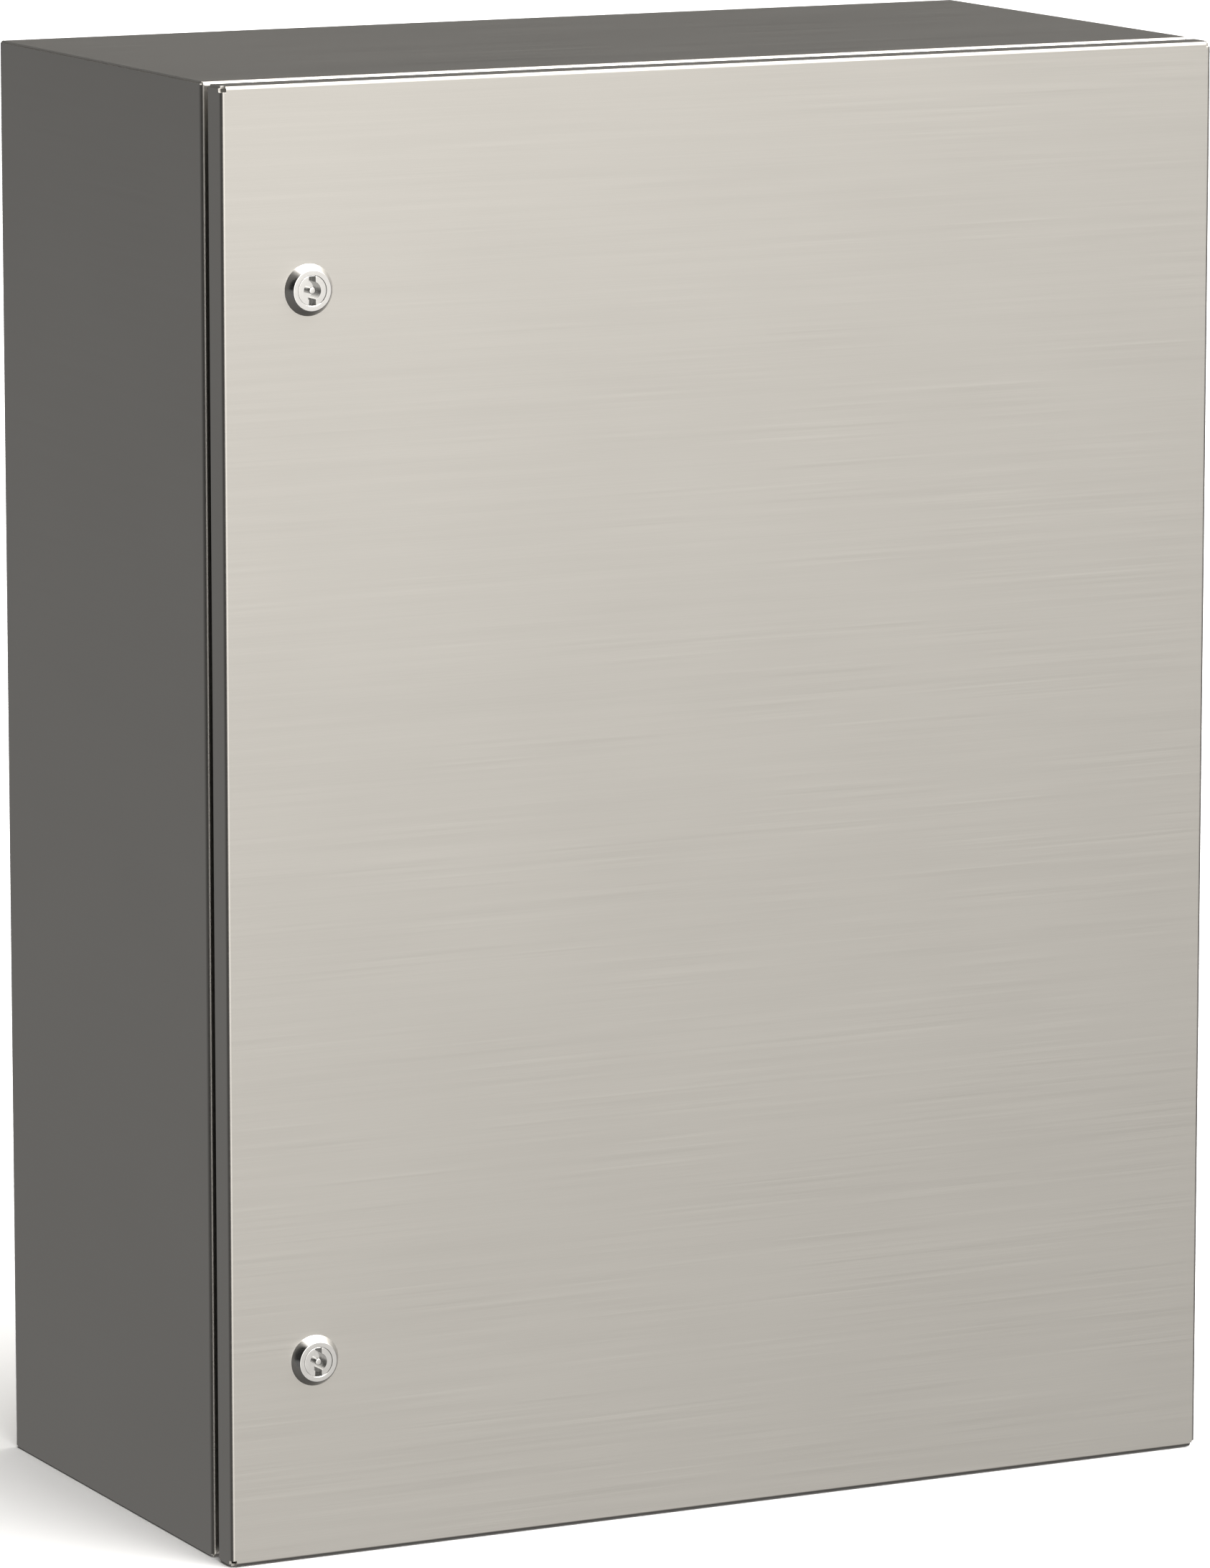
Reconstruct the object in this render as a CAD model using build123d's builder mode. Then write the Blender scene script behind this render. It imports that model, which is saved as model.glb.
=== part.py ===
from build123d import *
import os

os.makedirs("parts", exist_ok=True)

# Wall-mounted switchboard cabinet: a welded sheet body with one hinged door, all sizes in millimetres.
# The origin is on the wall, at the middle of the body's back. +X points to the hinge side, +Z up,
# and the door faces -Y. A distance named "depth" or "..._at" is measured from the wall towards the door.

# Overall size and sheet metal
width = 600
height = 800
depth = 300              # wall to the door's outer face
sheet = 1.5              # body and door sheet
body_bend = 2.5          # outside radius of the body's folds
door_bend = 2.1          # outside radius of the door's folds
door_flange = 16.5       # how far the door's edges fold back
door_inset = 0.5         # door edge short of the body's at top and at bottom
flange_gap = 9           # open gap between the door's flange and the body's front
weld_throat = 0.3        # metal that still joins two panels at an open corner
body_relief = 1.7        # corner relief where three of the body's folds meet
door_relief = 3.2        # corner relief where three of the door's folds meet

# Door opening, sealing lip and foam gasket
opening_border = 26      # body edge to the opening
opening_corner = 6
gasket_width = 12
gasket_height = 6.3
gasket_corner = 10       # corner radius at the middle of the gasket
gasket_round = 3
seal_gap = 0.3           # lip tip to the uncompressed foam

# Wall fixing
wall_hole_radius = 4.5
wall_hole_inset = 25     # hole centre to the body's edges

# Mounting plate on welded studs
plate_side_gap = 40      # body's side to the plate
plate_end_gap = 30       # body's top and bottom to the plate
plate_thickness = 2.5
plate_gap = 20           # back wall to the plate
plate_corner = 4
plate_hole_inset = 12.5

# Gland plate in the floor of the body
gland_from_side = 90     # body's side to the opening
gland_from_wall = 75
gland_from_door = 95     # door's outer face to the opening
gland_border = 15        # overlap of the plate round its opening
gland_thickness = 2
gland_gasket = 2

# Metric fasteners: thread radius, nut across flats, nut thickness, washer radius, washer thickness
m8 = dict(thread=4, flats=13, nut=6.5, washer=8, washer_thickness=1.6)
m6 = dict(thread=3, flats=10, nut=5, washer=6, washer_thickness=1.6)
m5 = dict(thread=2.5, flats=8, nut=4, washer=5, washer_thickness=1)
hole_clearance = 0.4     # radial, round a stud or screw
thread_clearance = 0.1   # radial, between a plain stud and its nut
stud_spare = 3           # stud end beyond its nut
stud_chamfer = 0.6
nut_corner = 1.1         # nut's turned corner radius over half its flats

# Earth studs
earth_stud_length = 20
earth_from_edge = 55     # door stud to the door's hinge edge
earth_from_side = 40     # body stud to the body's side
earth_from_bottom = 70   # door stud to the door's lower edge

# Stiffening rails on the door
rail_depth = 15
rail_foot = 12
rail_crown = 15
rail_bend = 2
rail_from_edge = 95      # door edge to the rail's web
rail_from_end = 50       # door's upper and lower edge to the rail's ends
rail_hole_radius = 2.25
rail_hole_pitch = 25

# Concealed hinges
hinge_from_end = 110     # body's upper and lower edge to a hinge
hinge_inset = 8          # body's side to the hinge axis
hinge_setback = 10.5     # door's face to the hinge axis
pin_radius = 2.5
pin_clearance = 0.03
pin_head_radius = 3.75
pin_head = 1.5
pin_end = 1
knuckle_radius = 4
body_knuckle = 20
door_knuckle = 12
knuckle_gap = 0.3        # axial, between neighbouring knuckles
leaf_thickness = 2
leaf_height = 60
arm_thickness = 2.5
arm_bend = 3
leaf_clearance = 2       # body leaf to the lip
body_leaf_width = 13.5
door_leaf_edge = 0.5     # door leaf to the gasket and to the bend of the flange
hinge_web = 5
hinge_screw_spread = 44
screw_head_radius = 4.5
screw_head = 2

# Quarter-turn locks
lock_from_edge = 50      # door's free edge to a lock
lock_from_end = 110      # body's upper and lower edge to a lock
lock_base_radius = 13.9
lock_face_radius = 11
lock_head = 5            # head height on the door's face
lock_rim = 0.6
barrel_radius = 11
barrel_clearance = 0.25
barrel_length = 20.7     # behind the door's face
plug_radius = 8.25
plug_step = 12           # length of the plug's wide front
plug_shank_radius = 6
plug_clearance = 0.05
plug_setback = 0.2
plug_chamfer = 0.4
key_radius = 5
key_slot_width = 4
key_slot_length = 15.6
key_depth = 5
key_pin_radius = 1.75
lock_seal = 1.5
lock_nut_flats = 27
lock_nut = 5
cam_thickness = 3
cam_width = 16
cam_tail = 11
cam_crank_start = 13     # lock axis to the crank's first bend
cam_crank_end = 17
cam_reach = 34           # lock axis to the tongue's tip
cam_bend = 3
cam_gap = 1.5            # latched tongue to the back of the body's front flange
cam_hub_setback = 1      # hub in front of the flange's front face
cam_corner = 4
cam_square = 7           # square tang of the plug
cam_screw_radius = 4.5
cam_screw_head = 2.5
cam_screw_length = 9     # depth of the screw's hole in the plug
cam_screw_spare = 1

# Sizes that follow from these
body_depth = depth - door_flange - flange_gap
door_back = depth - door_flange
door_height = height - 2 * door_inset
door_inner = depth - sheet
opening_width = width - 2 * opening_border
opening_height = height - 2 * opening_border
lip_tip = door_inner - gasket_height - seal_gap
groove = sheet - weld_throat
hinge_x = width / 2 - hinge_inset
hinge_at = depth - hinge_setback
hinge_levels = {"upper": height / 2 - hinge_from_end, "lower": hinge_from_end - height / 2}
body_leaf_left = opening_width / 2 + sheet + leaf_clearance
body_leaf_x = body_leaf_left + body_leaf_width / 2
door_leaf_left = opening_width / 2 + sheet / 2 + gasket_width / 2 + door_leaf_edge
door_leaf_right = width / 2 - door_bend - door_leaf_edge
lock_x = lock_from_edge - width / 2
lock_levels = {"upper": height / 2 - lock_from_end, "lower": lock_from_end - height / 2}
plate_width = width - 2 * plate_side_gap
plate_height = height - 2 * plate_end_gap
gland_opening_width = width - 2 * gland_from_side
gland_opening_depth = depth - gland_from_wall - gland_from_door
gland_centre = gland_from_wall + gland_opening_depth / 2
plate_at = sheet + plate_gap
plate_front = plate_at + plate_thickness
floor = sheet - height / 2


def folded_block(across, up, back, front, radius, folds):
    """A block from back to front whose end faces have rounded edges, as folded sheet has."""
    with BuildPart() as block:
        with BuildSketch(Plane.XZ.offset(back)):
            Rectangle(across, up)
        extrude(amount=front - back)
        ends = block.faces().filter_by(Axis.Y).sort_by(Axis.Y)
        folded = ends[0].edges() + ends[-1].edges() if folds == "both" else ends[0].edges()
        fillet(folded, radius=radius)
    return block.part


def rings(plane, spots, outer, inner, thickness):
    """Round washers, spacers or seals that stand on the plane at the given spots."""
    with BuildPart() as ring:
        with BuildSketch(plane):
            with Locations(*spots):
                Circle(outer)
                Circle(inner, mode=Mode.SUBTRACT)
        extrude(amount=thickness)
    return ring


def nuts(plane, spots, flats, inner, thickness):
    """Hexagon nuts that stand on the plane, with their six corners turned down."""
    with BuildPart() as nut:
        with BuildSketch(plane):
            with Locations(*spots):
                RegularPolygon(flats / 2, 6, major_radius=False)
                Circle(inner, mode=Mode.SUBTRACT)
        extrude(amount=thickness)
        with BuildSketch(plane):
            with Locations(*spots):
                Circle(flats / 2 * nut_corner)
        extrude(amount=thickness, mode=Mode.INTERSECT)
    return nut


def studs(plane, spots, radius, length):
    """Weld studs that stand on the plane, with a chamfered end."""
    with BuildPart() as stud:
        with BuildSketch(plane):
            with Locations(*spots):
                Circle(radius)
        extrude(amount=length)
        outwards = Axis(plane.origin, plane.z_dir)
        tips = stud.faces().filter_by(outwards).group_by(outwards)[-1]
        chamfer(tips.edges(), length=stud_chamfer)
    return stud


# Body: folded sheet, with its side and top panels welded edge to edge at open corners, a front flange
# folded in all round, and a lip that is folded forward from it to meet the gasket. It is made whole and
# then parted beside its folds and along its welds, into a back, two sides, a top, a bottom and a frame.
hinge_spots = [
    (body_leaf_x, level + side * hinge_screw_spread / 2)
    for level in hinge_levels.values()
    for side in (-1, 1)
]
body_block = folded_block(width, height, 0, body_depth, body_bend, "both")
body_cavity = folded_block(
    width - 2 * sheet, height - 2 * sheet, sheet, body_depth - sheet, body_bend - sheet, "both"
)
with BuildPart() as folded_body:
    add(body_block)
    add(body_cavity, mode=Mode.SUBTRACT)
    flange_back = Plane.XZ.offset(body_depth - sheet)
    with BuildSketch(flange_back):
        RectangleRounded(opening_width + 2 * sheet, opening_height + 2 * sheet, opening_corner + sheet)
    extrude(amount=lip_tip - body_depth + sheet)
    with BuildSketch(flange_back):
        RectangleRounded(opening_width, opening_height, opening_corner)
    extrude(amount=lip_tip - body_depth + sheet, mode=Mode.SUBTRACT)
    with BuildSketch(Plane.XZ):
        with GridLocations(width, height, 2, 2):
            Rectangle(2 * groove, 2 * groove)
    extrude(amount=body_depth, mode=Mode.SUBTRACT)
    with BuildSketch(Plane.XZ.offset(body_depth - body_relief)):
        with GridLocations(width, height, 2, 2):
            Rectangle(2 * body_relief, 2 * body_relief)
    extrude(amount=body_relief, mode=Mode.SUBTRACT)
    with BuildSketch(Plane.XZ):
        with GridLocations(width - 2 * wall_hole_inset, height - 2 * wall_hole_inset, 2, 2):
            Circle(wall_hole_radius)
    extrude(amount=sheet, mode=Mode.SUBTRACT)
    with BuildSketch(flange_back):
        with Locations(*hinge_spots):
            Circle(m5["thread"] + hole_clearance)
    extrude(amount=sheet, mode=Mode.SUBTRACT)
    with BuildSketch(Plane.XY.offset(-height / 2)):
        with Locations((0, -gland_centre)):
            Rectangle(gland_opening_width, gland_opening_depth)
    extrude(amount=sheet, mode=Mode.SUBTRACT)

front_joint = Plane.XZ.offset(body_depth - body_bend)
rear_joint = Plane.XZ.offset(body_bend)
with BuildPart() as front_frame:
    add(folded_body.part)
    split(bisect_by=front_joint, keep=Keep.TOP)
front_frame.part.label = "front_frame"
export_step(front_frame.part, "parts/front_frame.step")

with BuildPart() as back_panel:
    add(folded_body.part)
    split(bisect_by=rear_joint, keep=Keep.BOTTOM)
back_panel.part.label = "back_panel"
export_step(back_panel.part, "parts/back_panel.step")

side_joints = {
    "right": (Plane.YZ.offset(width / 2 - sheet), Keep.TOP),
    "left": (Plane.YZ.offset(sheet - width / 2), Keep.BOTTOM),
}
end_joints = {
    "top": (Plane.XY.offset(height / 2 - sheet), Keep.TOP),
    "bottom": (Plane.XY.offset(sheet - height / 2), Keep.BOTTOM),
}
with BuildPart() as walls:
    add(folded_body.part)
    split(bisect_by=front_joint, keep=Keep.BOTTOM)
    split(bisect_by=rear_joint, keep=Keep.TOP)
for side_name, (side_joint, outside) in side_joints.items():
    with BuildPart() as side_panel:
        add(walls.part)
        split(bisect_by=side_joint, keep=outside)
    side_panel.part.label = f"{side_name}_side_panel"
    export_step(side_panel.part, f"parts/{side_name}_side_panel.step")
for end_name, (end_joint, outside) in end_joints.items():
    with BuildPart() as end_panel:
        add(walls.part)
        split(bisect_by=side_joints["right"][0], keep=Keep.BOTTOM)
        split(bisect_by=side_joints["left"][0], keep=Keep.TOP)
        split(bisect_by=end_joint, keep=outside)
    end_panel.part.label = f"{end_name}_panel"
    export_step(end_panel.part, f"parts/{end_name}_panel.step")

# Gland plate: it lies on a gasket round the opening in the floor, under nuts on welded studs.
gland_stud_x = (gland_opening_width + gland_border) / 2
gland_stud_y = (gland_opening_depth + gland_border) / 2
gland_spots = [
    (x * gland_stud_x, y * gland_stud_y - gland_centre)
    for x in (-1, 0, 1)
    for y in (-1, 1)
]
gland_plate_width = gland_opening_width + 2 * gland_border
gland_plate_depth = gland_opening_depth + 2 * gland_border
gland_plate_at = floor + gland_gasket
gland_top = gland_plate_at + gland_thickness

with BuildPart() as gland_seal:
    with BuildSketch(Plane.XY.offset(floor)):
        with Locations((0, -gland_centre)):
            Rectangle(gland_plate_width, gland_plate_depth)
            Rectangle(gland_opening_width, gland_opening_depth, mode=Mode.SUBTRACT)
        with Locations(*gland_spots):
            Circle(m6["thread"] + hole_clearance, mode=Mode.SUBTRACT)
    extrude(amount=gland_gasket)
gland_seal.part.label = "gland_gasket"
export_step(gland_seal.part, "parts/gland_gasket.step")

with BuildPart() as gland_plate:
    with BuildSketch(Plane.XY.offset(gland_plate_at)):
        with Locations((0, -gland_centre)):
            RectangleRounded(gland_plate_width, gland_plate_depth, plate_corner)
        with Locations(*gland_spots):
            Circle(m6["thread"] + hole_clearance, mode=Mode.SUBTRACT)
    extrude(amount=gland_thickness)
gland_plate.part.label = "gland_plate"
export_step(gland_plate.part, "parts/gland_plate.step")

gland_stack = gland_gasket + gland_thickness + m6["washer_thickness"] + m6["nut"]
gland_studs = studs(Plane.XY.offset(floor), gland_spots, m6["thread"], gland_stack + stud_spare)
gland_studs.part.label = "gland_studs"
export_step(gland_studs.part, "parts/gland_studs.step")

gland_washers = rings(
    Plane.XY.offset(gland_top),
    gland_spots, m6["washer"], m6["thread"] + hole_clearance, m6["washer_thickness"],
)
gland_washers.part.label = "gland_washers"
export_step(gland_washers.part, "parts/gland_washers.step")

gland_nuts = nuts(
    Plane.XY.offset(gland_top + m6["washer_thickness"]),
    gland_spots, m6["flats"], m6["thread"] + thread_clearance, m6["nut"],
)
gland_nuts.part.label = "gland_nuts"
export_step(gland_nuts.part, "parts/gland_nuts.step")

# Mounting plate: a zinc-plated panel that stands off the back wall on four spacers round welded studs.
plate_spots = [
    (x * (plate_width / 2 - plate_hole_inset), z * (plate_height / 2 - plate_hole_inset))
    for x in (-1, 1)
    for z in (-1, 1)
]
with BuildPart() as mounting_plate:
    with BuildSketch(Plane.XZ.offset(plate_at)):
        RectangleRounded(plate_width, plate_height, plate_corner)
        with Locations(*plate_spots):
            Circle(m8["thread"] + hole_clearance, mode=Mode.SUBTRACT)
    extrude(amount=plate_thickness)
mounting_plate.part.label = "mounting_plate"
export_step(mounting_plate.part, "parts/mounting_plate.step")

plate_stack = plate_gap + plate_thickness + m8["washer_thickness"] + m8["nut"]
plate_studs = studs(Plane.XZ.offset(sheet), plate_spots, m8["thread"], plate_stack + stud_spare)
plate_studs.part.label = "plate_studs"
export_step(plate_studs.part, "parts/plate_studs.step")

plate_spacers = rings(
    Plane.XZ.offset(sheet), plate_spots, m8["washer"], m8["thread"] + hole_clearance, plate_gap
)
plate_spacers.part.label = "plate_spacers"
export_step(plate_spacers.part, "parts/plate_spacers.step")

plate_washers = rings(
    Plane.XZ.offset(plate_front),
    plate_spots, m8["washer"], m8["thread"] + hole_clearance, m8["washer_thickness"],
)
plate_washers.part.label = "plate_washers"
export_step(plate_washers.part, "parts/plate_washers.step")

plate_nuts = nuts(
    Plane.XZ.offset(plate_front + m8["washer_thickness"]),
    plate_spots, m8["flats"], m8["thread"] + thread_clearance, m8["nut"],
)
plate_nuts.part.label = "plate_nuts"
export_step(plate_nuts.part, "parts/plate_nuts.step")

# Door: a shallow pan whose four edges fold back, open at its corners like the body.
lock_spots = [(lock_x, level) for level in lock_levels.values()]
door_block = folded_block(width, door_height, door_back, depth, door_bend, "front")
door_cavity = folded_block(
    width - 2 * sheet, door_height - 2 * sheet, door_back, door_inner, door_bend - sheet, "front"
)
with BuildPart() as door_skin:
    add(door_block)
    add(door_cavity, mode=Mode.SUBTRACT)
    with BuildSketch(Plane.XZ.offset(door_back)):
        with GridLocations(width, door_height, 2, 2):
            Rectangle(2 * groove, 2 * groove)
    extrude(amount=door_flange, mode=Mode.SUBTRACT)
    with BuildSketch(Plane.XZ.offset(depth - door_relief)):
        with GridLocations(width, door_height, 2, 2):
            Rectangle(2 * door_relief, 2 * door_relief)
    extrude(amount=door_relief, mode=Mode.SUBTRACT)
    with BuildSketch(Plane.XZ.offset(door_inner)):
        with Locations(*lock_spots):
            Circle(barrel_radius + barrel_clearance)
    extrude(amount=sheet, mode=Mode.SUBTRACT)
door_skin.part.label = "door_skin"
export_step(door_skin.part, "parts/door_skin.step")

# Foam gasket: poured on the door's inner face, over the middle of the body's lip.
with BuildPart() as door_gasket:
    with BuildSketch(Plane.XZ.offset(door_inner)):
        RectangleRounded(
            opening_width + sheet + gasket_width,
            opening_height + sheet + gasket_width,
            gasket_corner + gasket_width / 2,
        )
        RectangleRounded(
            opening_width + sheet - gasket_width,
            opening_height + sheet - gasket_width,
            gasket_corner - gasket_width / 2,
            mode=Mode.SUBTRACT,
        )
    extrude(amount=-gasket_height)
    fillet(door_gasket.faces().sort_by(Axis.Y)[-1].edges(), radius=gasket_round)
door_gasket.part.label = "door_gasket"
export_step(door_gasket.part, "parts/door_gasket.step")

# Door rails: Z-shaped strips with a row of holes, welded upright to the door's inner face.
rail_length = door_height - 2 * rail_from_end
rail_web_x = width / 2 - rail_from_edge
rail_hole_count = int((rail_length - rail_hole_pitch) / rail_hole_pitch)
for side_name, side in (("left", -1), ("right", 1)):
    with BuildPart() as rail:
        with BuildSketch(Plane.XY.offset(-rail_length / 2)):
            with BuildLine():
                FilletPolyline(
                    (side * (rail_web_x - rail_foot), sheet / 2 - door_inner),
                    (side * rail_web_x, sheet / 2 - door_inner),
                    (side * rail_web_x, rail_depth - sheet / 2 - door_inner),
                    (side * (rail_web_x + rail_crown), rail_depth - sheet / 2 - door_inner),
                    radius=rail_bend,
                )
            trace(line_width=sheet)
        extrude(amount=rail_length)
        with BuildSketch(Plane.XZ.offset(door_inner - rail_depth)):
            with Locations((side * (rail_web_x + rail_crown / 2), 0)):
                with GridLocations(0, rail_hole_pitch, 1, rail_hole_count):
                    Circle(rail_hole_radius)
        extrude(amount=sheet, mode=Mode.SUBTRACT)
    rail.part.label = f"{side_name}_door_rail"
    export_step(rail.part, f"parts/{side_name}_door_rail.step")

# Earth studs: one on the body's floor beside the gland plate, one low on the door's hinge side.
# The door's seat faces the wall, so its local y axis points down.
earth_seats = {
    "body": (Plane.XY.offset(floor), (width / 2 - earth_from_side, -gland_centre)),
    "door": (
        Plane((0, -door_inner, 0), x_dir=(1, 0, 0), z_dir=(0, 1, 0)),
        (width / 2 - earth_from_edge, door_height / 2 - earth_from_bottom),
    ),
}
for owner, (seat, spot) in earth_seats.items():
    earth_stud = studs(seat, [spot], m8["thread"], earth_stud_length)
    earth_stud.part.label = f"{owner}_earth_stud"
    export_step(earth_stud.part, f"parts/{owner}_earth_stud.step")
    earth_washer = rings(seat, [spot], m8["washer"], m8["thread"] + hole_clearance, m8["washer_thickness"])
    earth_washer.part.label = f"{owner}_earth_washer"
    export_step(earth_washer.part, f"parts/{owner}_earth_washer.step")
    washer_top = seat.offset(m8["washer_thickness"])
    earth_nut = nuts(washer_top, [spot], m8["flats"], m8["thread"] + thread_clearance, m8["nut"])
    earth_nut.part.label = f"{owner}_earth_nut"
    export_step(earth_nut.part, f"parts/{owner}_earth_nut.step")

# Hinges: they hide in the channel between the lip and the door's flange. The body leaf's arm rises
# beside the lip and reaches the pin from the left, out of the flange's way as the door swings.
for place, level in hinge_levels.items():
    body_low = level - body_knuckle / 2
    with BuildPart() as body_leaf:
        with BuildSketch(Plane.XZ.offset(body_depth)):
            with Locations((body_leaf_x, level)):
                Rectangle(body_leaf_width, leaf_height)
                with GridLocations(0, hinge_screw_spread, 1, 2):
                    Circle(m5["thread"] + hole_clearance, mode=Mode.SUBTRACT)
        extrude(amount=leaf_thickness)
        with BuildSketch(Plane.XY.offset(body_low)):
            with BuildLine():
                FilletPolyline(
                    (body_leaf_left + arm_thickness / 2, -body_depth),
                    (body_leaf_left + arm_thickness / 2, -hinge_at),
                    (hinge_x, -hinge_at),
                    radius=arm_bend,
                )
            trace(line_width=arm_thickness)
        extrude(amount=body_knuckle)
        with BuildSketch(Plane.XY.offset(body_low)):
            with Locations((hinge_x, -hinge_at)):
                Circle(knuckle_radius)
        extrude(amount=body_knuckle)
        with BuildSketch(Plane.XY.offset(body_low)):
            with Locations((hinge_x, -hinge_at)):
                Circle(pin_radius + pin_clearance)
        extrude(amount=body_knuckle, mode=Mode.SUBTRACT)
    body_leaf.part.label = f"{place}_hinge_body_leaf"
    export_step(body_leaf.part, f"parts/{place}_hinge_body_leaf.step")

    knuckle_lows = (body_low - knuckle_gap - door_knuckle, body_low + body_knuckle + knuckle_gap)
    with BuildPart() as door_leaf:
        with BuildSketch(Plane.XZ.offset(door_inner)):
            with Locations(((door_leaf_left + door_leaf_right) / 2, level)):
                Rectangle(door_leaf_right - door_leaf_left, leaf_height)
        extrude(amount=-leaf_thickness)
        for low in knuckle_lows:
            with BuildSketch(Plane.XY.offset(low)):
                with Locations((hinge_x, -hinge_at)):
                    Circle(knuckle_radius)
                with Locations((hinge_x, -(hinge_at + door_inner - leaf_thickness) / 2)):
                    Rectangle(hinge_web, door_inner - leaf_thickness - hinge_at)
                with Locations((hinge_x, -hinge_at)):
                    Circle(pin_radius + pin_clearance, mode=Mode.SUBTRACT)
            extrude(amount=door_knuckle)
    door_leaf.part.label = f"{place}_hinge_door_leaf"
    export_step(door_leaf.part, f"parts/{place}_hinge_door_leaf.step")

    pin_top = knuckle_lows[1] + door_knuckle
    with BuildPart() as hinge_pin:
        with BuildSketch(Plane.XY.offset(knuckle_lows[0] - pin_end)):
            with Locations((hinge_x, -hinge_at)):
                Circle(pin_radius)
        extrude(amount=pin_top - knuckle_lows[0] + pin_end)
        with BuildSketch(Plane.XY.offset(pin_top)):
            with Locations((hinge_x, -hinge_at)):
                Circle(pin_head_radius)
        extrude(amount=pin_head)
        chamfer(hinge_pin.faces().sort_by(Axis.Z)[0].edges(), length=stud_chamfer)
    hinge_pin.part.label = f"{place}_hinge_pin"
    export_step(hinge_pin.part, f"parts/{place}_hinge_pin.step")

# Hinge screws: through the body leaf and the front flange, into nuts behind the flange.
screw_seat = body_depth + leaf_thickness
with BuildPart() as hinge_screws:
    with BuildSketch(Plane.XZ.offset(screw_seat)):
        with Locations(*hinge_spots):
            Circle(screw_head_radius)
    extrude(amount=screw_head)
    with BuildSketch(Plane.XZ.offset(screw_seat)):
        with Locations(*hinge_spots):
            Circle(m5["thread"])
    extrude(amount=-(leaf_thickness + sheet + m5["nut"] + stud_spare))
hinge_screws.part.label = "hinge_screws"
export_step(hinge_screws.part, "parts/hinge_screws.step")

hinge_nuts = nuts(
    Plane.XZ.offset(body_depth - sheet - m5["nut"]),
    hinge_spots, m5["flats"], m5["thread"] + thread_clearance, m5["nut"],
)
hinge_nuts.part.label = "hinge_nuts"
export_step(hinge_nuts.part, "parts/hinge_nuts.step")

# Locks: each has a housing through the door, a plug that the double-bit key turns, and a cranked cam
# that swings behind the body's front flange. The cam points up while the door is free to open.
lock_face = depth + lock_head
plug_face = lock_face - plug_setback
step_at = lock_face - plug_step
cam_hub_at = body_depth + cam_hub_setback
cam_hub_mid = cam_hub_at + cam_thickness / 2
plug_shoulder = cam_hub_at + cam_thickness
tongue_mid = body_depth - sheet - cam_gap - cam_thickness / 2
barrel_end = depth - barrel_length

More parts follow.
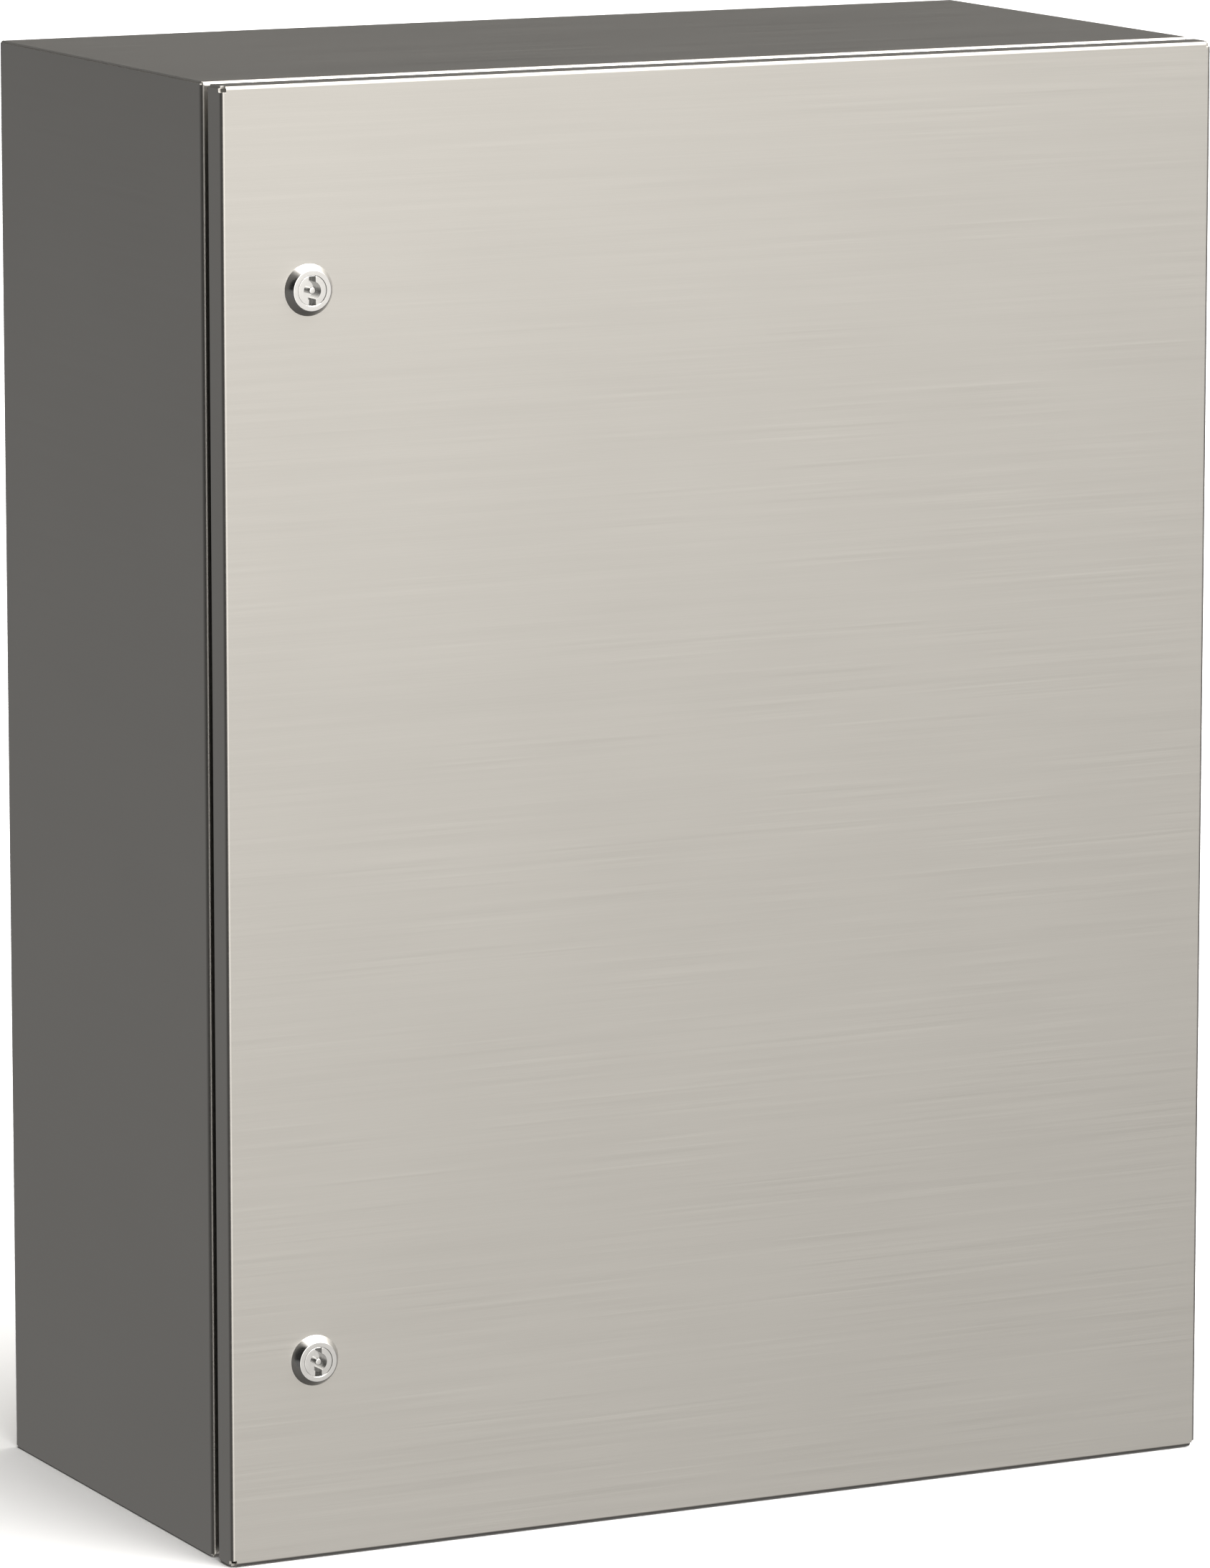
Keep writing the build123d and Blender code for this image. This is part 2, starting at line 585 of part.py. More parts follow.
for place, level in lock_levels.items():
    with BuildPart() as housing:
        with BuildSketch(Plane.XZ.offset(depth)):
            with Locations((lock_x, level)):
                Circle(lock_base_radius)
        with BuildSketch(Plane.XZ.offset(lock_face)):
            with Locations((lock_x, level)):
                Circle(lock_face_radius)
        loft()
        fillet(housing.faces().sort_by(Axis.Y)[0].edges(), radius=lock_rim)
        with BuildSketch(Plane.XZ.offset(depth)):
            with Locations((lock_x, level)):
                Circle(barrel_radius)
        extrude(amount=-barrel_length)
        with BuildSketch(Plane.XZ.offset(lock_face)):
            with Locations((lock_x, level)):
                Circle(plug_radius + plug_clearance)
        extrude(amount=-plug_step, mode=Mode.SUBTRACT)
        with BuildSketch(Plane.XZ.offset(barrel_end)):
            with Locations((lock_x, level)):
                Circle(plug_shank_radius + plug_clearance)
        extrude(amount=step_at - barrel_end, mode=Mode.SUBTRACT)
        mouth = housing.faces().filter_by(Axis.Y).sort_by(Axis.Y)[0].edges().sort_by(SortBy.RADIUS)[0]
        chamfer(mouth, length=plug_chamfer)
    housing.part.label = f"{place}_lock_housing"
    export_step(housing.part, f"parts/{place}_lock_housing.step")

    with BuildPart() as plug:
        with BuildSketch(Plane.XZ.offset(step_at)):
            with Locations((lock_x, level)):
                Circle(plug_radius)
        extrude(amount=plug_face - step_at)
        chamfer(plug.faces().sort_by(Axis.Y)[0].edges(), length=plug_chamfer)
        with BuildSketch(Plane.XZ.offset(plug_shoulder)):
            with Locations((lock_x, level)):
                Circle(plug_shank_radius)
        extrude(amount=step_at - plug_shoulder)
        with BuildSketch(Plane.XZ.offset(cam_hub_at)):
            with Locations((lock_x, level)):
                Rectangle(cam_square, cam_square)
        extrude(amount=cam_thickness)
        with BuildSketch(Plane.XZ.offset(plug_face)):
            with Locations((lock_x, level)):
                Circle(key_radius)
                Rectangle(key_slot_width, key_slot_length)
                Circle(key_pin_radius, mode=Mode.SUBTRACT)
        extrude(amount=-key_depth, mode=Mode.SUBTRACT)
        with BuildSketch(Plane.XZ.offset(cam_hub_at)):
            with Locations((lock_x, level)):
                Circle(m5["thread"] + thread_clearance)
        extrude(amount=cam_screw_length, mode=Mode.SUBTRACT)
    plug.part.label = f"{place}_lock_plug"
    export_step(plug.part, f"parts/{place}_lock_plug.step")

    with BuildPart() as cam:
        with BuildSketch(Plane.YZ.offset(lock_x)):
            with BuildLine():
                FilletPolyline(
                    (-cam_hub_mid, level - cam_tail),
                    (-cam_hub_mid, level + cam_crank_start),
                    (-tongue_mid, level + cam_crank_end),
                    (-tongue_mid, level + cam_reach),
                    radius=cam_bend,
                )
            trace(line_width=cam_thickness)
        extrude(amount=cam_width / 2, both=True)
        corners = cam.edges().filter_by(Axis.Y).group_by(Axis.Z)
        fillet(corners[0] + corners[-1], radius=cam_corner)
        with BuildSketch(Plane.XZ.offset(cam_hub_at)):
            with Locations((lock_x, level)):
                Rectangle(cam_square, cam_square)
        extrude(amount=cam_thickness, mode=Mode.SUBTRACT)
    cam.part.label = f"{place}_lock_cam"
    export_step(cam.part, f"parts/{place}_lock_cam.step")

    with BuildPart() as cam_screw:
        with BuildSketch(Plane.XZ.offset(cam_hub_at)):
            with Locations((lock_x, level)):
                Circle(cam_screw_radius)
        extrude(amount=-cam_screw_head)
        with BuildSketch(Plane.XZ.offset(cam_hub_at)):
            with Locations((lock_x, level)):
                Circle(m5["thread"])
        extrude(amount=cam_screw_length - cam_screw_spare)
    cam_screw.part.label = f"{place}_cam_screw"
    export_step(cam_screw.part, f"parts/{place}_cam_screw.step")

# Each lock is held by a large flat nut over a rubber ring on the door's inner face.
lock_seals = rings(
    Plane.XZ.offset(door_inner - lock_seal), lock_spots,
    lock_nut_flats / 2, barrel_radius + thread_clearance, lock_seal,
)
lock_seals.part.label = "lock_seals"
export_step(lock_seals.part, "parts/lock_seals.step")

lock_nuts = nuts(
    Plane.XZ.offset(door_inner - lock_seal - lock_nut), lock_spots,
    lock_nut_flats, barrel_radius + thread_clearance, lock_nut,
)
lock_nuts.part.label = "lock_nuts"
export_step(lock_nuts.part, "parts/lock_nuts.step")
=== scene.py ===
import bmesh
import bpy
import math
from mathutils import Matrix, Vector


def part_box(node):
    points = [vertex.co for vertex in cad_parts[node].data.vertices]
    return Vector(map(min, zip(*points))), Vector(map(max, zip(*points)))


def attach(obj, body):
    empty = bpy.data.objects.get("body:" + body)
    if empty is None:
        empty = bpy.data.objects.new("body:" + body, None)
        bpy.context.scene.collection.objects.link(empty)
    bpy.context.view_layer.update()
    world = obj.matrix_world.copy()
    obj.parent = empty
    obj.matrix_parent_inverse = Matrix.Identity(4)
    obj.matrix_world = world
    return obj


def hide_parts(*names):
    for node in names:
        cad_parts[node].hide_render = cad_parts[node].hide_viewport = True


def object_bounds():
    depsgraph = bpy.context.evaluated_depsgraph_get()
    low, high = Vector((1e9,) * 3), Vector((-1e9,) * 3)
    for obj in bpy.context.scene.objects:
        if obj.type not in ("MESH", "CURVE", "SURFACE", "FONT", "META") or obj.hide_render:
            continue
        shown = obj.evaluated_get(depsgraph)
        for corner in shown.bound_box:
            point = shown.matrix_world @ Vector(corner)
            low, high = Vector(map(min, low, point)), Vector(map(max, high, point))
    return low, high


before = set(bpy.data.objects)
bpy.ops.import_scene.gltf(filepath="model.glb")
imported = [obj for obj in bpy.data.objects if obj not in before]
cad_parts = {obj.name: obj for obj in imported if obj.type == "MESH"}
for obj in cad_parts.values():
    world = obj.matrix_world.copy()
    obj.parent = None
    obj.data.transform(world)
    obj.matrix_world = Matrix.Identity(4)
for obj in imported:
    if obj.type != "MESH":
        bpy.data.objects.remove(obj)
cad_low, cad_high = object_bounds()
scene = bpy.context.scene
scene.view_settings.view_transform = "Standard"

# Camera: a long lens well to the left of the cabinet and above it, turned down to its door, so that
# upright edges stay nearly parallel.
camera_azimuth = math.radians(-26.558)
camera_elevation = math.radians(9.888)
sight_back = Vector((
    math.sin(camera_azimuth) * math.cos(camera_elevation),
    -math.cos(camera_azimuth) * math.cos(camera_elevation),
    math.sin(camera_elevation),
))
camera = bpy.data.objects.new("camera", bpy.data.cameras.new("camera"))
camera.data.sensor_width = 36
camera.data.lens = 202.65
camera.data.clip_end = 200
camera.location = (-2.1820, -4.5152, 0.8331)
camera.rotation_euler = sight_back.to_track_quat("Z", "Y").to_euler()
scene.collection.objects.link(camera)
scene.camera = camera

# Studio: a wide pale floor just under the cabinet, one broad soft light overhead, and surroundings for the
# bare metal to mirror: a bright panel above and in front, and a dim room below and behind.
floor_size = 120
floor_gap = 0.0001
bpy.ops.object.select_all(action="DESELECT")
bpy.ops.mesh.primitive_plane_add(size=floor_size, location=(0, 0, cad_low[2] - floor_gap))
floor = bpy.context.object
floor.name = "floor"
bpy.ops.object.transform_apply(location=True, rotation=True, scale=True)
floor_paint = bpy.data.materials.new("floor_paint")
floor_paint.use_nodes = True
floor_shader = floor_paint.node_tree.nodes["Principled BSDF"]
floor_shader.inputs["Base Color"].default_value = (0.92, 0.92, 0.92, 1)
floor_shader.inputs["Roughness"].default_value = 1
floor_shader.inputs["Specular IOR Level"].default_value = 0
floor.data.materials.append(floor_paint)
floor.visible_glossy = False
floor.visible_shadow = False

overhead = bpy.data.objects.new("overhead", bpy.data.lights.new("overhead", "SUN"))
overhead.data.energy = 3.2
overhead.data.angle = math.radians(60)
overhead.rotation_euler = Vector((0.25, -0.5, 1)).to_track_quat("Z", "Y").to_euler()
scene.collection.objects.link(overhead)

surroundings = bpy.data.worlds.new("surroundings")
surroundings.use_nodes = True
scene.world = surroundings
world_nodes = surroundings.node_tree.nodes
world_links = surroundings.node_tree.links
heading = world_nodes.new("ShaderNodeTexCoord").outputs["Generated"]


def towards(direction):
    """How far a heading goes in one direction."""
    facing = world_nodes.new("ShaderNodeVectorMath")
    facing.operation = "DOT_PRODUCT"
    facing.inputs[1].default_value = direction
    world_links.new(heading, facing.inputs[0])
    return facing.outputs["Value"]


def world_ramp(value, least, most, low, high, kind="SMOOTHSTEP"):
    """A value's range, passed on to another range and held at its ends."""
    ramp = world_nodes.new("ShaderNodeMapRange")
    ramp.interpolation_type = kind
    for socket, amount in zip(("From Min", "From Max", "To Min", "To Max"), (least, most, low, high)):
        ramp.inputs[socket].default_value = amount
    world_links.new(value, ramp.inputs["Value"])
    return ramp.outputs["Result"]


def world_math(operation, first, second=0.0):
    """Arithmetic between two values of the surroundings."""
    step = world_nodes.new("ShaderNodeMath")
    step.operation = operation
    for socket, value in zip(step.inputs, (first, second)):
        if isinstance(value, float):
            socket.default_value = value
        else:
            world_links.new(value, socket)
    return step.outputs["Value"]


def glow(colour, strength):
    """Part of the surroundings' light, in one colour."""
    light = world_nodes.new("ShaderNodeBackground")
    light.inputs["Color"].default_value = (*colour, 1)
    world_links.new(strength, light.inputs["Strength"])
    return light.outputs["Background"]


# The panel grows to the left and upwards to a limit, and fades out towards the back and at the far left.
panel_growth = (-2.6, 0, 2.85)
panel_level = 1.245
panel_limit = 2.6
room_growth = (0, 0.12, 0)
room_least = 0.015
panel = world_math("EXPONENT", world_math("ADD", towards(panel_growth), panel_level))
panel = world_math("MINIMUM", panel, panel_limit)
panel = world_math("MULTIPLY", panel, world_ramp(towards((0, -1, 0.75)), 0.0, 0.4, 0, 1))
panel = world_math("MULTIPLY", panel, world_ramp(towards((1, 0, 0)), -0.62, 0.2, 0, 1))
room = world_ramp(towards((0, 0, 1)), -0.08, 0.16, 0.107, -0.06, "LINEAR")
room = world_math("MAXIMUM", world_math("ADD", towards(room_growth), room), room_least)
both_glows = world_nodes.new("ShaderNodeAddShader")
world_links.new(glow((1, 0.973, 0.93), panel), both_glows.inputs[0])
world_links.new(glow((1, 0.99, 0.98), room), both_glows.inputs[1])
world_links.new(both_glows.outputs["Shader"], world_nodes["World Output"].inputs["Surface"])


# Body: a box of brushed stainless sheet, folded and welded, with open corners where its side and top
# panels meet, a front flange folded in all round and a lip folded forward from it.
def new_finish(name, roughness, metallic=1.0):
    """A material, its nodes, its shader and the object's own coordinates."""
    finish = bpy.data.materials.new(name)
    finish.use_nodes = True
    shader = finish.node_tree.nodes["Principled BSDF"]
    shader.inputs["Metallic"].default_value = metallic
    shader.inputs["Roughness"].default_value = roughness
    place = finish.node_tree.nodes.new("ShaderNodeTexCoord").outputs["Object"]
    return finish, finish.node_tree.nodes, finish.node_tree.links, shader, place


def noise(nodes, links, place, scale, detail=3.0):
    """A noise on the object's coordinates, with a scale of its own along each axis, per metre."""
    stretch = nodes.new("ShaderNodeMapping")
    stretch.inputs["Scale"].default_value = scale
    pattern = nodes.new("ShaderNodeTexNoise")
    pattern.inputs["Scale"].default_value = 1
    pattern.inputs["Detail"].default_value = detail
    links.new(place, stretch.inputs["Vector"])
    links.new(stretch.outputs["Vector"], pattern.inputs["Vector"])
    return pattern.outputs["Fac"]


def spread(nodes, links, value, low, high, least=0.25, most=0.75):
    """A pattern's usual range, spread over the two values given."""
    ramp = nodes.new("ShaderNodeMapRange")
    ramp.inputs["From Min"].default_value = least
    ramp.inputs["From Max"].default_value = most
    ramp.inputs["To Min"].default_value = low
    ramp.inputs["To Max"].default_value = high
    links.new(value, ramp.inputs["Value"])
    return ramp.outputs["Result"]


def blend_colours(nodes, links, factor, first, second):
    """A colour between two, by a pattern that runs from 0 to 1."""
    mix = nodes.new("ShaderNodeMix")
    mix.data_type = "RGBA"
    mix.inputs["A"].default_value = (*first, 1)
    mix.inputs["B"].default_value = (*second, 1)
    links.new(factor, mix.inputs["Factor"])
    return mix.outputs["Result"]


def bump(nodes, links, shader, height, depth):
    """Relief from a pattern, its full depth in metres."""
    relief = nodes.new("ShaderNodeBump")
    relief.inputs["Strength"].default_value = 1
    relief.inputs["Distance"].default_value = depth
    links.new(height, relief.inputs["Height"])
    links.new(relief.outputs["Normal"], shader.inputs["Normal"])


def mixed(nodes, links, first, second, factor):
    """One pattern passing into another."""
    mix = nodes.new("ShaderNodeMix")
    mix.inputs["Factor"].default_value = factor if isinstance(factor, float) else 0
    if not isinstance(factor, float):
        links.new(factor, mix.inputs["Factor"])
    links.new(first, mix.inputs["A"])
    links.new(second, mix.inputs["B"])
    return mix.outputs["Result"]


def brushed_finish(name, dark, light, roughness, grain_depth):
    """Stainless sheet brushed along X: hairlines stacked up Z on upright faces, along Y on level ones."""
    finish, nodes, links, shader, place = new_finish(name, roughness)
    fine_along, fine_across = 9, 2600
    coarse_along, coarse_across = 3, 420
    coarse_share = 0.25
    upright = mixed(
        nodes, links,
        noise(nodes, links, place, (fine_along, fine_along, fine_across)),
        noise(nodes, links, place, (coarse_along, coarse_along, coarse_across)), coarse_share,
    )
    level = mixed(
        nodes, links,
        noise(nodes, links, place, (fine_along, fine_across, fine_along)),
        noise(nodes, links, place, (coarse_along, coarse_across, coarse_along)), coarse_share,
    )
    geometry = nodes.new("ShaderNodeNewGeometry")
    split = nodes.new("ShaderNodeSeparateXYZ")
    links.new(geometry.outputs["Normal"], split.inputs["Vector"])
    tilt = nodes.new("ShaderNodeMath")
    tilt.operation = "ABSOLUTE"
    links.new(split.outputs["Z"], tilt.inputs[0])
    grain = mixed(nodes, links, upright, level, spread(nodes, links, tilt.outputs["Value"], 0, 1, 0.6, 0.8))
    clouds = noise(nodes, links, place, (7, 7, 11), detail=2)
    tone = mixed(nodes, links, grain, clouds, 0.3)
    colour = blend_colours(nodes, links, spread(nodes, links, tone, 0, 1), dark, light)
    links.new(colour, shader.inputs["Base Color"])
    links.new(spread(nodes, links, grain, roughness - 0.05, roughness + 0.05), shader.inputs["Roughness"])
    bump(nodes, links, shader, grain, grain_depth)
    return finish


brushed_steel = brushed_finish("brushed_stainless", (0.60, 0.583, 0.552), (0.65, 0.633, 0.6), 0.33, 0.000002)


def deselect():
    if bpy.context.mode != "OBJECT":
        bpy.ops.object.mode_set(mode="OBJECT")
    bpy.ops.object.select_all(action="DESELECT")


def block(name, low, high):
    """A solid block between two corners."""
    deselect()
    bpy.ops.mesh.primitive_cube_add(size=1)
    piece = bpy.context.object
    piece.name = name
    piece.data.transform(
        Matrix.Translation((Vector(low) + Vector(high)) / 2)
        @ Matrix.Diagonal((*(Vector(high) - Vector(low)), 1))
    )
    return piece


def round_edges(piece, chosen, radius, segments):
    """Rounds the edges whose middle and direction pass the test."""
    deselect()
    bpy.context.view_layer.objects.active = piece
    piece.select_set(True)
    bpy.ops.object.mode_set(mode="EDIT")
    bpy.ops.mesh.select_mode(type="EDGE")
    bpy.ops.mesh.select_all(action="DESELECT")
    mesh = bmesh.from_edit_mesh(piece.data)
    for edge in mesh.edges:
        first, second = edge.verts[0].co, edge.verts[1].co
        edge.select_set(chosen((first + second) / 2, (second - first).normalized()))
    mesh.select_flush_mode()
    bmesh.update_edit_mesh(piece.data)
    bpy.ops.mesh.bevel(offset=radius, segments=segments, affect="EDGES")
    bpy.ops.object.mode_set(mode="OBJECT")


def apply_modifier(piece, modifier):
    deselect()
    bpy.context.view_layer.objects.active = piece
    piece.select_set(True)
    bpy.ops.object.modifier_apply(modifier=modifier.name)


def combine(piece, other, operation):
    """Cuts the other piece out of the first, or joins it on, and removes it."""
    step = piece.modifiers.new("combine", "BOOLEAN")
    step.operation = operation
    step.solver = "EXACT"
    step.object = other
    apply_modifier(piece, step)
    bpy.data.objects.remove(other)


def complete(piece, body, nodes, finish, edge_break=0.00015, smooth_angle=35):
    """Breaks the piece's sharp edges, smooths its curves, and puts it in its CAD nodes' place."""
    if edge_break:
        broken = piece.modifiers.new("broken_edges", "BEVEL")
        broken.width = edge_break
        broken.segments = 2
        broken.limit_method = "ANGLE"
        broken.angle_limit = math.radians(50)
        apply_modifier(piece, broken)
    deselect()
    bpy.context.view_layer.objects.active = piece
    piece.select_set(True)
    bpy.ops.object.shade_smooth_by_angle(angle=math.radians(smooth_angle))
    levelled = piece.modifiers.new("level_faces", "WEIGHTED_NORMAL")
    levelled.keep_sharp = True
    apply_modifier(piece, levelled)
    piece.data.materials.clear()
    piece.data.materials.append(finish)
    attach(piece, body)
    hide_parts(*nodes)


sheet = 0.0015
body_bend = 0.0025
opening_border = 0.026
opening_corner = 0.006
corner_groove = 0.0012
body_relief = 0.0017
body_low, body_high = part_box("back_panel")
flange_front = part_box("upper_hinge_body_leaf")[1].y
lip_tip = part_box("front_frame")[0].y
half_width, half_height = body_high.x, body_high.z


def folded(name, half_across, half_up, front, back, bend, folds_at):
    """A block whose upright and level edges at the given depths are rounded as folds."""
    piece = block(name, (-half_across, front, -half_up), (half_across, back, half_up))
    round_edges(
        piece,
        lambda middle, run: abs(run.y) < 0.5 and any(abs(middle.y - depth) < 1e-5 for depth in folds_at),
        bend, 8,
    )
    return piece


def framed(name, half_across, half_up, front, back, corner):
    """A block with its four corners, seen from the front, rounded."""
    piece = block(name, (-half_across, front, -half_up), (half_across, back, half_up))
    round_edges(piece, lambda middle, run: abs(run.y) > 0.5, corner, 8)
    return piece


def cut_corners(piece, half_across, half_up, front, back, size):
    """Cuts a square channel out of the four corners, seen from the front."""
    for x in (-half_across, half_across):
        for z in (-half_up, half_up):
            combine(
                piece,
                block("corner", (x - size, front, z - size), (x + size, back, z + size)),
                "DIFFERENCE",
            )


def round_hole(piece, centre, radius, length, axis, vertices=64):
    """Cuts a round hole through a piece."""
    deselect()
    bpy.ops.mesh.primitive_cylinder_add(vertices=vertices, radius=radius, depth=length)
    drill = bpy.context.object
    turn = Vector(axis).to_track_quat("Z", "Y").to_matrix().to_4x4()
    drill.data.transform(Matrix.Translation(centre) @ turn)
    combine(piece, drill, "DIFFERENCE")


body = folded(
    "body_panels", half_width, half_height, flange_front, body_high.y, body_bend, (flange_front, body_high.y),
)
inside_front = flange_front + sheet
inside_back = body_high.y - sheet
combine(body, folded(
    "cavity", half_width - sheet, half_height - sheet, inside_front, inside_back, body_bend - sheet,
    (inside_front, inside_back),
), "DIFFERENCE")
opening_x = half_width - opening_border
opening_z = half_height - opening_border
combine(body, framed(
    "lip", opening_x + sheet, opening_z + sheet, lip_tip, inside_front, opening_corner + sheet,
), "UNION")
combine(body, framed(
    "opening", opening_x, opening_z, lip_tip - sheet, inside_front + sheet, opening_corner,
), "DIFFERENCE")
cut_corners(body, half_width, half_height, flange_front - sheet, body_high.y + sheet, corner_groove)
cut_corners(body, half_width, half_height, flange_front - sheet, flange_front + body_relief, body_relief)
wall_hole = 0.0045
wall_hole_inset = 0.025
for x in (-1, 1):
    for z in (-1, 1):
        hole_at = (x * (half_width - wall_hole_inset), 0, z * (half_height - wall_hole_inset))
        round_hole(body, hole_at, wall_hole, 0.02, (0, 1, 0))
gland_low, gland_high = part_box("gland_gasket")
gland_border = 0.015
combine(body, block(
    "gland_opening",
    (gland_low.x + gland_border, gland_low.y + gland_border, body_low.z - sheet),
    (gland_high.x - gland_border, gland_high.y - gland_border, body_low.z + 2 * sheet),
), "DIFFERENCE")
mitre = 0.0003
for x in (-1, 1):
    for z in (-1, 1):
        line = block("mitre", (-opening_border, -mitre, -mitre / 2), (opening_border, mitre, mitre / 2))
        line.data.transform(
            Matrix.Translation((x * half_width, flange_front, z * half_height))
            @ Matrix.Rotation(-x * z * math.pi / 4, 4, "Y")
        )
        combine(body, line, "DIFFERENCE")
body_nodes = ["back_panel", "left_side_panel", "right_side_panel", "top_panel", "bottom_panel", "front_frame"]
complete(body, "enclosure", body_nodes, brushed_steel)

# Door: a shallow pan of the same brushed sheet. Its four edges fold back, and where three folds meet the
# corner is notched out square before bending.
door_low, door_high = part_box("door_skin")
door_bend = 0.0021
door_relief = 0.0032
door = folded("door_pan", door_high.x, door_high.z, door_low.y, door_high.y, door_bend, (door_low.y,))
combine(door, folded(
    "door_hollow", door_high.x - sheet, door_high.z - sheet, door_low.y + sheet, door_high.y + sheet,
    door_bend - sheet, (door_low.y + sheet,),
), "DIFFERENCE")
cut_corners(door, door_high.x, door_high.z, door_low.y - sheet, door_high.y + sheet, corner_groove)
cut_corners(door, door_high.x, door_high.z, door_low.y - sheet, door_low.y + door_relief, door_relief)
lock_places = {
    lock: (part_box(f"{lock}_lock_housing")[0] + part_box(f"{lock}_lock_housing")[1]) / 2
    for lock in ("upper", "lower")
}
lock_hole = 0.01125
for centre in lock_places.values():
    round_hole(door, (centre.x, door_low.y, centre.z), lock_hole, 0.01, (0, 1, 0), 96)
complete(door, "door", ["door_skin"], brushed_steel)


# Lock housings: chromed zinc, turned, with a bevelled head on the door's face, a rounded rim, and a
# threaded barrel that passes through the door.
def metal_finish(name, dark, light, roughness, unevenness, clouds, grit, depth, painted_wall_shade=None):
    """A metal surface: a tone that drifts in clouds, a roughness that drifts too, and a fine relief. Walls
    that run along Y can be darkened by a painted shade colour of their own, which stands in for the shade in
    hollows."""
    finish, nodes, links, shader, place = new_finish(name, roughness)
    drift = noise(nodes, links, place, (clouds, clouds, clouds * 1.4), detail=4)
    relief = noise(nodes, links, place, (grit, grit, grit), detail=2)
    tone = blend_colours(nodes, links, spread(nodes, links, drift, 0, 1), dark, light)
    # Painted shade: faces whose normals lie across Y take a dark colour that stands in for the shadow in
    # hollows.
    if painted_wall_shade:
        split = nodes.new("ShaderNodeSeparateXYZ")
        links.new(place.node.outputs["Normal"], split.inputs["Vector"])
        facing = nodes.new("ShaderNodeMath")
        facing.operation = "ABSOLUTE"
        links.new(split.outputs["Y"], facing.inputs[0])
        shaded_walls = blend_colours(nodes, links, spread(nodes, links, facing.outputs["Value"], 0, 1), painted_wall_shade, painted_wall_shade)
        links.new(tone, shaded_walls.node.inputs["B"])
        tone = shaded_walls
    links.new(tone, shader.inputs["Base Color"])
    wear = mixed(nodes, links, drift, relief, 0.4)
    sheen = spread(nodes, links, wear, roughness - unevenness, roughness + unevenness)
    links.new(sheen, shader.inputs["Roughness"])
    bump(nodes, links, shader, relief, depth)
    return finish


arc_steps = 4


def softened(corners):
    """An outline of (radius, height, rounding) corners as points, with its rounded corners as short arcs."""
    points = []
    for place, (radius, height, rounding) in enumerate(corners):
        corner = Vector((radius, height))
        if not rounding:
            points.append(corner)
            continue
        before = (Vector(corners[place - 1][:2]) - corner).normalized()
        after = (Vector(corners[(place + 1) % len(corners)][:2]) - corner).normalized()
        half_turn = before.angle(after) / 2
        centre = corner + (before + after).normalized() * rounding / math.sin(half_turn)
        start = corner + before * rounding / math.tan(half_turn) - centre
        finish = corner + after * rounding / math.tan(half_turn) - centre
        for step in range(arc_steps + 1):
            points.append(centre + start.lerp(finish, step / arc_steps).normalized() * rounding)
    return points


def turned(name, corners, steps=96):
    """A piece turned about the Z axis from an outline of (radius, height, rounding) corners."""
    outline = softened(corners)
    deselect()
    bpy.ops.mesh.primitive_circle_add(vertices=len(outline), fill_type="NOTHING")
    piece = bpy.context.object
    piece.name = name
    for vertex, (radius, height) in zip(piece.data.vertices, outline):
        vertex.co = (radius, 0, height)
    bpy.ops.object.mode_set(mode="EDIT")
    mesh = bmesh.from_edit_mesh(piece.data)
    on_axis = [edge for edge in mesh.edges if max(vertex.co.x for vertex in edge.verts) < 1e-7]
    bmesh.ops.delete(mesh, geom=on_axis, context="EDGES")
    bmesh.update_edit_mesh(piece.data)
    bpy.ops.mesh.select_all(action="SELECT")
    bpy.ops.mesh.spin(steps=steps, angle=2 * math.pi, center=(0, 0, 0), axis=(0, 0, 1))
    bpy.ops.mesh.select_all(action="SELECT")
    bpy.ops.mesh.remove_doubles(threshold=1e-7)
    bpy.ops.mesh.normals_make_consistent(inside=False)
    bpy.ops.object.mode_set(mode="OBJECT")
    return piece


def stand(piece, seat, direction):
    """Moves a piece made along Z to its seat, standing up in the given direction."""
    turn = Vector(direction).to_track_quat("Z", "Y").to_matrix().to_4x4()
    piece.data.transform(Matrix.Translation(seat) @ turn)
    return piece


def thread(radius, start, end, pitch):
    """The corners of a screw thread's crests and roots along an outline."""
    depth = 0.6 * pitch
    turns = int(abs(end - start) / pitch)
    step = (end - start) / turns
    root = radius - depth * 0.5
    crest_at = 0.4
    corners = [(root, start, 0)]
    for turn in range(turns):
        corners.append((radius, start + step * (turn + crest_at), 0))
        corners.append((root, start + step * (turn + 1), 0))
    return corners


chrome_look = ((0.9, 0.895, 0.885), (0.96, 0.955, 0.945), 0.12, 0.035, 220, 2600, 0.000002)
chrome = metal_finish("chromed_zinc", *chrome_look)
face_radius = 0.011
face_rim = 0.0006
barrel_radius = 0.011
plug_bore = 0.0083
shank_bore = 0.00605
plug_step = 0.012
head_edge = 0.00015
barrel_neck = 0.0016
barrel_pitch = 0.001
barrel_chamfer = 0.0006
for lock, centre in lock_places.items():
    low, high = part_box(f"{lock}_lock_housing")
    base_radius = (high.x - low.x) / 2
    head = door_low.y - low.y
    barrel_end = door_low.y - high.y
    housing = turned(f"{lock}_housing", [
        (plug_bore, head, 0.00012), (face_radius, head, face_rim), (base_radius, head_edge, 0),
        (base_radius, 0, 0), (barrel_radius, 0, 0),
        *thread(barrel_radius, -barrel_neck, barrel_end + barrel_chamfer, barrel_pitch),
        (barrel_radius - barrel_chamfer, barrel_end, 0), (shank_bore, barrel_end, 0.0002),
        (shank_bore, head - plug_step, 0), (plug_bore, head - plug_step, 0),
    ], steps=128)
    stand(housing, (centre.x, door_low.y, centre.z), (0, -1, 0))
    complete(housing, "door", [f"{lock}_lock_housing"], chrome, edge_break=0)
